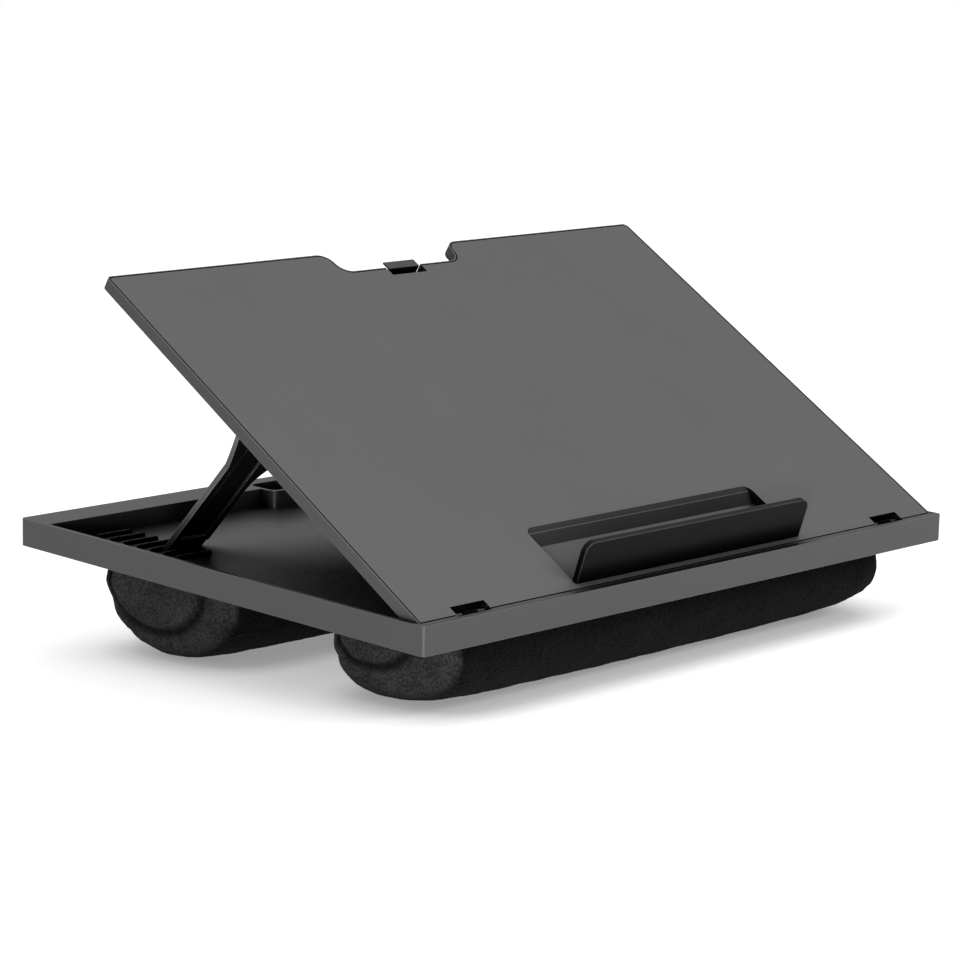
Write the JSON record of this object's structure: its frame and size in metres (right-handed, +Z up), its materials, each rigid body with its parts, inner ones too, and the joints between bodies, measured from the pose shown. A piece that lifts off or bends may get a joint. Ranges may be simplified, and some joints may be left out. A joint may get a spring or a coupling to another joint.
{
  "type": "laptop bed table",
  "caption": "Adjustable laptop bed table: black tray on two stuffed bolster cushions, with a tilting platform on folding legs, a fold-up ledge flap and a rear latch",
  "frame": {"origin": "on the surface that the cushions rest on, under the middle of the table's length and width", "axes": "+X to the right along the width, +Y from the user's edge to the rear, +Z up"},
  "size_m": [0.515, 0.4004, 0.2657],
  "materials": {
    "black_plastic": "satin",
    "panel_plastic": "fine texture",
    "latch_plastic": "satin",
    "fleece": "fleece",
    "stuffing": "fibre",
    "steel": "plain",
    "dark_steel": "blackened"
  },
  "bodies": {
    "base": {"tray_shell": "black_plastic", "left_rack": "black_plastic", "right_rack": "black_plastic", "base_board": "black_plastic", "board_screws": "steel", "left_hinge_pin": "dark_steel", "right_hinge_pin": "dark_steel", "front_cushion_cover": "fleece", "front_cushion_filling": "stuffing", "rear_cushion_cover": "fleece", "rear_cushion_filling": "stuffing"},
    "platform": {"platform_frame": "black_plastic", "platform_top_panel": "panel_plastic", "panel_screws": "steel", "bearing_screws": "steel", "clip_screws": "steel", "left_inner_bearing": "black_plastic", "left_outer_bearing": "black_plastic", "right_inner_bearing": "black_plastic", "right_outer_bearing": "black_plastic", "left_leg_pin": "steel", "right_leg_pin": "steel", "left_flap_pin": "steel", "right_flap_pin": "steel", "latch_clip": "latch_plastic"},
    "legs": {"left_leg": "black_plastic", "right_leg": "black_plastic", "leg_cross_panel": "black_plastic", "cross_panel_screws": "steel"},
    "flap": {"ledge_flap": "black_plastic"},
    "latch": {"latch_tab": "latch_plastic"}
  },
  "joints": [
    {"name": "platform_tilt", "type": "hinge", "parent": "base", "child": "platform", "pos_m": [0, -0.18678, 0.0673], "axis": [1, 0, 0], "range_deg": [0, 56]},
    {"name": "legs_fold", "type": "hinge", "parent": "platform", "child": "legs", "pos_m": [0, -0.01442, 0.18286], "axis": [-1, 0, 0], "range_deg": [0, 102.86]},
    {"name": "flap_fold", "type": "hinge", "parent": "platform", "child": "flap", "pos_m": [0, -0.18466, 0.07019], "axis": [-1, 0, 0], "range_deg": [0, 77.3]},
    {"name": "latch_press", "type": "hinge", "parent": "platform", "child": "latch", "pos_m": [0, 0.08263, 0.24144], "axis": [1, 0, 0], "range_deg": [0, 12], "stiffness_Nm_per_rad": 0.4}
  ],
  "couplings": [
    {"joint": "legs_fold", "follows": "platform_tilt", "ratio": 1.8368}
  ]
}
